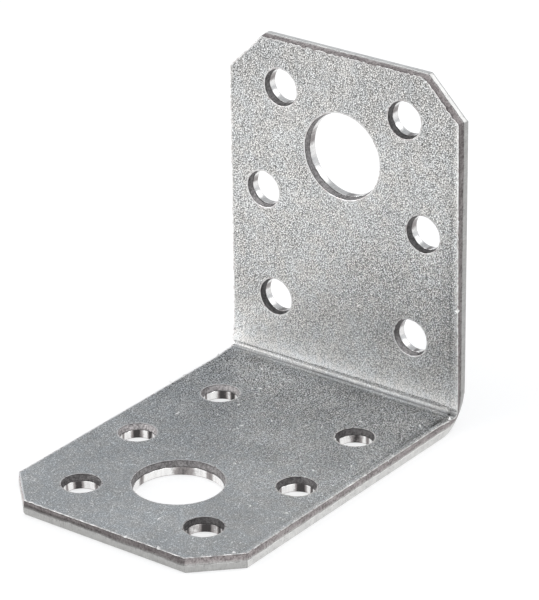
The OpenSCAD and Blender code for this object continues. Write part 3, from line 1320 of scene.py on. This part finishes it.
@dataclass(frozen=True)
class TornSteel:
    """The torn half of a sheared edge: dark, dull and dragged across the thickness."""

    name: str = "torn_steel"
    dark: Colour = (0.16, 0.14, 0.14, 1)
    light: Colour = (0.44, 0.405, 0.40, 1)
    fade: Colour = (0.52, 0.515, 0.505, 1)
    # whether the band fades into the burnished half, or ends in a dark line
    fades: bool = True
    pit_mm: float = 0.2
    # steps per millimetre along the edge and across the thickness
    drag_scale: Three = (3.2, 2.4, 1.0)
    blotch_scale: Three = (0.5, 0.8, 1.0)
    metallic: float = 0.9

    def build(self) -> Material:
        """Builds the material."""
        t = NodeTree.fresh(self.name)
        run = t.attribute("run", True)
        depth = t.node("ShaderNodeSeparateXYZ", {0: run}).outputs[1]
        drag, blotch = t.streaks(run, self.drag_scale, 3, 0.6), t.streaks(run, self.blotch_scale, 2)
        pits = t.speckle(self.pit_mm, 3, 0.7)
        mixed = t.add(t.times(drag, 0.38), t.times(pits, 0.44), t.times(blotch, 0.18))
        colour = t.mix(t.spread(mixed, 0.38, 0.62), self.dark, self.light)
        # painted shadow under the lip: the torn band is darker at its top
        colour = t.shaded(colour, t.spread(depth, 0.02, 0.22, 0.4, 1.0))
        if self.fades:
            colour = t.mix(t.spread(t.add(depth, t.swing(drag, 0.5)), 0.62, 1.05), colour, self.fade)
        else:
            colour = t.shaded(colour, t.spread(depth, 0.68, 0.86, 1.0, 0.45))
        bumps = t.bump(pits, 0.06, 0.7, t.bump(drag, 0.08, 0.5))
        return t.surface(Base_Color=t.with_cut_light(colour), Metallic=self.metallic,
                         Roughness=t.spread(pits, 0.3, 0.7, 0.45, 0.7), Normal=bumps)


@dataclass(frozen=True)
class BurnishedSteel:
    """The smooth half of a sheared edge, burnished by the blade across the thickness."""

    name: str = "burnished_steel"
    dull: Colour = (0.52, 0.515, 0.505, 1)
    bright: Colour = (0.72, 0.715, 0.70, 1)
    roughness: float = 0.30
    pit_mm: float = 0.3
    # steps per millimetre along the edge and across the thickness
    wipe_scale: Three = (9.0, 0.7, 1.0)
    patch_scale: Three = (0.9, 0.9, 1.0)

    def build(self) -> Material:
        """Builds the material."""
        t = NodeTree.fresh(self.name)
        run = t.attribute("run", True)
        stroke, patch = t.streaks(run, self.wipe_scale, 3, 0.6), t.streaks(run, self.patch_scale, 2)
        mixed = t.add(t.times(stroke, 0.6), t.times(patch, 0.4))
        colour = t.mix(t.spread(mixed, 0.3, 0.7), self.dull, self.bright)
        colour = t.shaded(colour, t.spread(t.speckle(self.pit_mm, 2, 0.6), 0.58, 0.72, 1.0, 0.72))
        rough = t.add(self.roughness, t.swing(stroke, 0.2))
        bumps = t.bump(stroke, 0.03, 0.35)
        return t.surface(Base_Color=t.with_cut_light(colour), Metallic=1.0, Roughness=rough, Normal=bumps)


@dataclass(frozen=True)
class ReflectingBore:
    """The burnished wall of a punched hole: mirror bright zinc with streaks, darkened by painted dark
    reflections and painted shade.
    """

    name: str = "bore_dark_reflections"
    bright: Colour = (0.96, 0.95, 0.94, 1)
    dimmed: Colour = (0.36, 0.335, 0.33, 1)
    dark: Colour = (0.07, 0.065, 0.065, 1)
    roughness: float = 0.26
    speck_mm: float = 0.2
    # steps per millimetre along the edge and across the thickness, and per hole
    line_scale: Three = (2.6, 0.35, 3.0)
    blotch_scale: Three = (1.3, 1.1, 7.0)
    # depths between which the painted shadow at the far end of the wall sets in, and its darkness
    foot_shade_at: Pair = (1.82, 1.94)
    wall_shade: float = 0.4
    # painted shade: how much darker the walls are on the upright
    upright_shade: float = 0.16

    def build(self) -> Material:
        """Builds the material."""
        t = NodeTree.fresh(self.name)
        run = t.attribute("run", True)
        depth = t.node("ShaderNodeSeparateXYZ", {0: run}).outputs[1]
        lines, blotch = t.streaks(run, self.line_scale, 2, 0.5), t.streaks(run, self.blotch_scale, 3, 0.6)
        specks = t.speckle(self.speck_mm, 2, 0.6)
        # the cut attribute holds the painted dark reflections and shade of each hole; streaks and specks add
        # to them
        smear = t.add(t.attribute("cut"), t.swing(lines, 0.25), t.swing(blotch, 0.45), t.swing(specks, 0.3))
        smear = t.math("MAXIMUM", smear, t.spread(depth, *self.foot_shade_at, 0, self.wall_shade))
        colour = t.mix(t.spread(smear, 0.08, 0.5), self.bright, self.dimmed)
        colour = t.mix(t.spread(smear, 0.5, 0.95), colour, self.dark)
        shade = t.less(1.0, t.attribute("upright"), self.upright_shade)
        colour = t.shaded(colour, t.math("SUBTRACT", shade, t.spread(lines, 0.35, 0.7, 0, 0.1)))
        bumps = t.bump(lines, 0.02, 0.3)
        return t.surface(Base_Color=colour, Metallic=1.0, Roughness=self.roughness, Normal=bumps)


# ---- Grown detail


@dataclass
class GrowTree(Nodes):
    """A Geometry Nodes tree with named inputs, ended by Realize Instances and Set Material."""

    name: str
    # value of each named input. A whole number makes an integer input
    values: dict[str, float]
    sockets: dict[str, str] = field(default_factory=dict)

    def __post_init__(self) -> None:
        """Makes the tree with its inputs and output."""
        self.tree = bpy.data.node_groups.new(f"grow_{self.name}", "GeometryNodeTree")
        for way in ("INPUT", "OUTPUT"):
            self.tree.interface.new_socket("Geometry", in_out=way, socket_type="NodeSocketGeometry")
        for name, value in self.values.items():
            kind = "NodeSocketInt" if isinstance(value, int) else "NodeSocketFloat"
            item = self.tree.interface.new_socket(name, in_out="INPUT", socket_type=kind)
            item.default_value = value
            self.sockets[name] = item.identifier
        self.inputs = self.node("NodeGroupInput").outputs

    def random(self, low: float, high: float) -> Socket:
        """A random number for each instance."""
        inputs = {2: low, 3: high, "Seed": self.inputs["Seed"]}
        return self.node("FunctionNodeRandomValue", inputs, data_type="FLOAT").outputs[1]

    def random_vector(self, low: Three, high: Three) -> Socket:
        """A random vector for each instance."""
        inputs = {0: low, 1: high, "Seed": self.inputs["Seed"]}
        return self.out("FunctionNodeRandomValue", inputs, data_type="FLOAT_VECTOR")

    def finish(self, grown: Socket, material: Material, host: Object) -> Object:
        """Ends the tree, runs it on a host and keeps the result as a plain mesh.

        Args:
            grown: the instances.
            material: their finish.
            host: the object that the tree reads. It is removed afterwards.

        Returns:
            The new piece, at the origin.
        """
        real = self.out("GeometryNodeRealizeInstances", {0: grown})
        dressed = self.out("GeometryNodeSetMaterial", {0: real, "Material": material})
        self.node("NodeGroupOutput", {0: dressed})
        modifier = host.modifiers.new(self.name, "NODES")
        modifier.node_group = self.tree
        for name, value in self.values.items():
            modifier[self.sockets[name]] = value
        mesh = bpy.data.meshes.new_from_object(host.evaluated_get(bpy.context.evaluated_depsgraph_get()))
        host.modifiers.remove(modifier)
        bpy.data.objects.remove(host)
        mesh.name = self.name
        return new_object(self.name, mesh)


@dataclass
class EdgeBurrs:
    """Shards of metal left standing along the outer edge or along the lips of the holes."""

    skin: SheetSkin
    name: str = "edge_burrs"
    holes: bool = False
    spacing: float = 1.2
    size: float = 0.44
    share: float = 0.4
    seed: int = 4
    # size of a shard by chance: least, what the largest has more, and how rare large ones are
    growth: Three = (0.45, 1.2, 3.0)
    # the left edge of the upright came out clean: no shards beyond this x and above this height
    clean_x: float = -17.0
    clean_z: float = 6.0

    def _host(self) -> Object:
        """The crests of the sheared edges as lines, without the one that came out clean."""
        places, edges, start = [], [], 0
        for k in range(1, len(self.skin.lips)) if self.holes else (0,):
            path = self.skin.lip_path(k)
            n = len(path)
            rough = (path[:, 0] > self.clean_x) | (path[:, 2] < self.clean_z)
            edges += [(start + i, start + (i + 1) % n) for i in range(n) if rough[i]]
            places.append(path)
            start += n
        return new_object("edge_crests", new_mesh("edge_crests", np.concatenate(places), edges, []))

    def build(self, material: Material) -> Object:
        """Builds the shards.

        Args:
            material: their finish.

        Returns:
            The new piece.
        """
        g = GrowTree(self.name, {
            "Spacing": self.spacing * MM, "Size": self.size * MM,
            "Share Kept": self.share, "Seed": self.seed})
        curve = g.out("GeometryNodeMeshToCurve", {"Mesh": g.inputs["Geometry"]})
        steps = {"Curve": curve, "Length": g.inputs["Spacing"]}
        even = g.out("GeometryNodeResampleCurve", steps, mode="LENGTH")
        keep = g.node("FunctionNodeRandomValue", {
            "Probability": g.inputs["Share Kept"], "Seed": g.inputs["Seed"]}, data_type="BOOLEAN").outputs[3]
        shard = g.out("GeometryNodeMeshCone", {
            "Vertices": 4, "Side Segments": 1, "Radius Top": 0.12, "Radius Bottom": 0.5, "Depth": 0.8})
        least, more, rarity = self.growth
        large = g.out("ShaderNodeMath", {0: g.random(0.0, 1.0), 1: rarity}, operation="POWER")
        swell = g.out("ShaderNodeMath", {0: large, 1: more, 2: least}, operation="MULTIPLY_ADD")
        scale = g.out("ShaderNodeMath", {0: swell, 1: g.inputs["Size"]}, operation="MULTIPLY")
        shards = g.out("GeometryNodeInstanceOnPoints", {
            "Points": even, "Selection": keep, "Instance": shard,
            "Rotation": g.random_vector((0.0,) * 3, (6.28,) * 3), "Scale": scale})
        piece = g.finish(shards, material, self._host())
        for vertex in piece.data.vertices:
            vertex.co = [min(max(c, low), high) for c, low, high in zip(vertex.co, *CAD_BOX)]
        return piece


@dataclass
class ZincPimples:
    """Small beads and slivers left in the zinc on the inner side, near white with painted glints."""

    plan: StripPlan
    size: float = 0.42
    per_mm2: float = 0.022
    seed: int = 11
    # how far they keep off the sides and the fold, and off the ends
    side_margin: float = 1.2
    fold_margin: float = 0.5
    end_margin: float = 5.2
    clear: float = 0.5

    def _host(self) -> Object:
        """The two flat inner faces as plain plates, clear of edges and fold."""
        w = self.plan.half_width - self.side_margin
        fold = self.plan.sizes.fold_out + self.fold_margin
        low, high = self.end_margin - self.plan.base_leg, self.plan.upright_leg - self.end_margin
        flat = np.array([(-w, low), (w, low), (w, -fold), (-w, -fold),
                         (-w, fold), (w, fold), (w, high), (-w, high)])
        place = self.plan.folded(flat, np.zeros(len(flat)))
        plates = new_mesh("pimple_plates", place, [], [(0, 1, 2, 3), (4, 5, 6, 7)])
        return new_object("pimple_plates", plates)

    def build(self, material: Material) -> Object:
        """Builds the pimples.

        Args:
            material: their finish.

        Returns:
            The new piece.
        """
        g = GrowTree("zinc_pimples", {
            "Density": self.per_mm2 / MM**2, "Size": self.size * MM, "Seed": self.seed})
        points = g.node("GeometryNodeDistributePointsOnFaces", {
            "Mesh": g.inputs["Geometry"], "Density": g.inputs["Density"], "Seed": g.inputs["Seed"]}).outputs
        bead = g.out("GeometryNodeMeshIcoSphere", {"Radius": 0.5, "Subdivisions": 2})
        stretch = g.random_vector((0.7, 0.35, 0.5), (2.2, 0.55, 0.8))
        scale = g.out("ShaderNodeVectorMath", {0: stretch, "Scale": g.inputs["Size"]}, operation="SCALE")
        beads = g.out("GeometryNodeInstanceOnPoints", {
            "Points": points["Points"], "Instance": bead, "Rotation": points["Rotation"], "Scale": scale})
        about = g.out("ShaderNodeCombineXYZ", {2: g.random(-3.14, 3.14)})
        turned = g.out("GeometryNodeRotateInstances", {"Instances": beads, "Rotation": about})
        return self._off_the_holes(g.finish(turned, material, self._host()))

    def _off_the_holes(self, piece: Object) -> Object:
        """Takes away pimples over a hole or off the cropped corners."""
        mesh = piece.data
        co = np.zeros(len(mesh.vertices) * 3)
        mesh.vertices.foreach_get("co", co)
        x, y, z = co.reshape(-1, 3).T / MM
        upright = z > self.plan.sizes.thickness + 1
        bad = self.plan.clear(np.stack([x, np.where(upright, z, y - self.plan.back)], 1)) < self.clear
        # a bead is gone as a whole if any of its vertices is bad
        gone = np.repeat(bad.reshape(-1, BEAD_VERTICES).any(axis=1), BEAD_VERTICES)
        work = bmesh.new()
        work.from_mesh(mesh)
        bmesh.ops.delete(work, geom=[v for v, off in zip(work.verts, gone) if off], context="VERTS")
        work.to_mesh(mesh)
        work.free()
        return piece


# ---- Stage


@dataclass(frozen=True)
class StudioFloor:
    """A plain white floor under the bracket."""

    size: float = 8.0
    colour: Colour = (0.55, 0.55, 0.55, 1)
    lift: float = 0.57

    def build(self) -> Object:
        """Builds the floor."""
        t = NodeTree.fresh("studio_floor")
        paths = t.node("ShaderNodeLightPath")
        seen = t.math("MAXIMUM", paths.outputs["Is Camera Ray"], paths.outputs["Is Glossy Ray"])
        seen = t.math("MAXIMUM", seen, paths.outputs["Is Transmission Ray"])
        matt = t.out("ShaderNodeBsdfDiffuse", {"Color": self.colour})
        glow = t.out("ShaderNodeEmission", {"Color": (1, 1, 1, 1), "Strength": t.times(seen, self.lift)})
        t.node("ShaderNodeOutputMaterial", {"Surface": t.out("ShaderNodeAddShader", {0: matt, 1: glow})})
        half, level = self.size / 2, CAD_BOX[0][2]
        mesh = bpy.data.meshes.new("studio_floor")
        corners = [(x * half, y * half, level) for x, y in ((-1, -1), (1, -1), (1, 1), (-1, 1))]
        mesh.from_pydata(corners, [], [(0, 1, 2, 3)])
        mesh.materials.append(t.material)
        floor = new_object("studio_floor", mesh)
        return floor


@dataclass(frozen=True)
class SoftLamp:
    """One large soft lamp aimed at the bracket. Lengths are metres."""

    name: str
    azimuth: float
    elevation: float
    distance: float
    size: float
    power: float
    colour: Three = (1, 1, 1)

    def build(self) -> Object:
        """Builds the lamp."""
        data = bpy.data.lights.new(self.name, "AREA")
        data.shape = "SQUARE"
        data.size = self.size
        data.energy = self.power
        data.color = self.colour
        lamp = new_object(self.name, data)
        back = outward(self.azimuth, self.elevation)
        turn = back.to_track_quat("Z", "Y").to_matrix().to_4x4()
        lamp.matrix_world = Matrix.Translation(back * self.distance) @ turn
        return lamp


@dataclass(frozen=True)
class SoftRoom:
    """The even light of the room, a little brighter to the back, with a pale low backdrop."""

    colour: Colour = (0.975, 1.0, 1.03, 1)
    level: float = 0.5
    toward_back: float = 0.12
    backdrop: float = 0.2

    def build(self) -> World:
        """Builds the world."""
        world = bpy.data.worlds.new("soft_room")
        world.use_nodes = True
        world.node_tree.nodes.clear()
        t = NodeTree(world)
        way = t.node("ShaderNodeTexCoord").outputs["Generated"]
        axes = t.node("ShaderNodeSeparateXYZ", {0: way}).outputs
        low = t.times(t.spread(axes[2], 0.05, 0.38, 1.0, 0.0), t.spread(axes[1], 0.0, 0.6))
        level = t.add(t.times(axes[1], self.toward_back), self.level, t.times(low, self.backdrop))
        sky = t.out("ShaderNodeBackground", {"Color": self.colour, "Strength": level})
        t.node("ShaderNodeOutputWorld", {"Surface": sky})
        bpy.context.scene.world = world
        return world


@dataclass(frozen=True)
class ProductCamera:
    """The camera. Angles are degrees, aim and distance millimetres."""

    azimuth: float = 37.11
    elevation: float = 25.06
    roll: float = 0.726
    distance: float = 424.08
    aim: Three = (4.117, 2.574, 22.327)
    lens: float = 210.96

    def build(self) -> Object:
        """Builds the camera and makes it the scene's own."""
        data = bpy.data.cameras.new("product_camera")
        data.lens = self.lens
        data.sensor_width = 36.0
        data.clip_start = 0.01
        data.clip_end = 50.0
        camera = new_object("product_camera", data)
        a, r = math.radians(self.azimuth), math.radians(self.roll)
        back, level = outward(self.azimuth, self.elevation), Vector((math.cos(a), math.sin(a), 0.0))
        rise = back.cross(level)
        right = level * math.cos(r) - rise * math.sin(r)
        up = rise * math.cos(r) + level * math.sin(r)
        spot = Vector(self.aim) * MM + back * self.distance * MM
        camera.matrix_world = Matrix.Translation(spot) @ Matrix((right, up, back)).transposed().to_4x4()
        bpy.context.scene.camera = camera
        return camera


# ---- The bracket


@dataclass
class Bracket:
    """The whole bracket: one folded sheet and what has grown on it."""

    plan: StripPlan

    def build(self) -> list[Object]:
        """Builds and dresses every piece.

        Returns:
            The pieces, ready to ride.
        """
        zinc, torn, burnished = ZincCoating().build(), TornSteel().build(), BurnishedSteel().build()
        dark, light = (0.13, 0.123, 0.123, 1), (0.37, 0.355, 0.355, 1)
        bore_torn = TornSteel("bore_torn_steel", dark, light, fades=False).build()
        # the bore walls carry painted dark reflections, and the lips a painted highlight
        bore, bright = ReflectingBore().build(), HighlitBurr().build()
        skin = SheetSkin(self.plan, Relief(self.plan))
        sheet = skin.build("folded_sheet")
        for material in (zinc, bright, torn, burnished, bore_torn, bore):
            sheet.data.materials.append(material)
        # painted glints: the shards and pimples are near white
        bead = HighlitBurr("zinc_bead_glints", (0.98, 0.98, 0.97, 1), (0.9, 0.89, 0.88, 1), metallic=0.3).build()
        burrs = EdgeBurrs(skin).build(bead)
        hole_burrs = EdgeBurrs(skin, "hole_burrs", holes=True, size=0.3, share=0.22, seed=7).build(bead)
        pimples = ZincPimples(self.plan).build(bead)
        return [sheet, burrs, hole_burrs, pimples]


def main() -> None:
    """Builds the bracket and its stage, and reports each piece."""
    logging.basicConfig(level=logging.INFO, format="%(name)s: %(message)s")
    scene = bpy.context.scene
    scene.view_settings.view_transform = "Standard"
    ProductCamera().build()
    plan = StripPlan.from_frame(SheetSizes(), frame["record"])
    pieces = Bracket(plan).build()
    for piece in pieces:
        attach(piece, BODY)
        LOG.info("%s: %d faces", piece.name, len(piece.data.polygons))
    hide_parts(NODE)
    StudioFloor().build()
    SoftRoom().build()
    for lamp in (
        SoftLamp("key_lamp", -42, 60, 1.3, 1.1, 3.4),
        SoftLamp("fill_lamp", -37, 8, 1.3, 0.8, 6.6),
        SoftLamp("top_lamp", 100, 70, 1.4, 0.8, 4.0),
        SoftLamp("back_lamp", 149.6, 33, 1.3, 0.7, 2.0),
    ):
        lamp.build()
        LOG.info("%s", lamp.name)


if __name__ == "__main__":
    main()
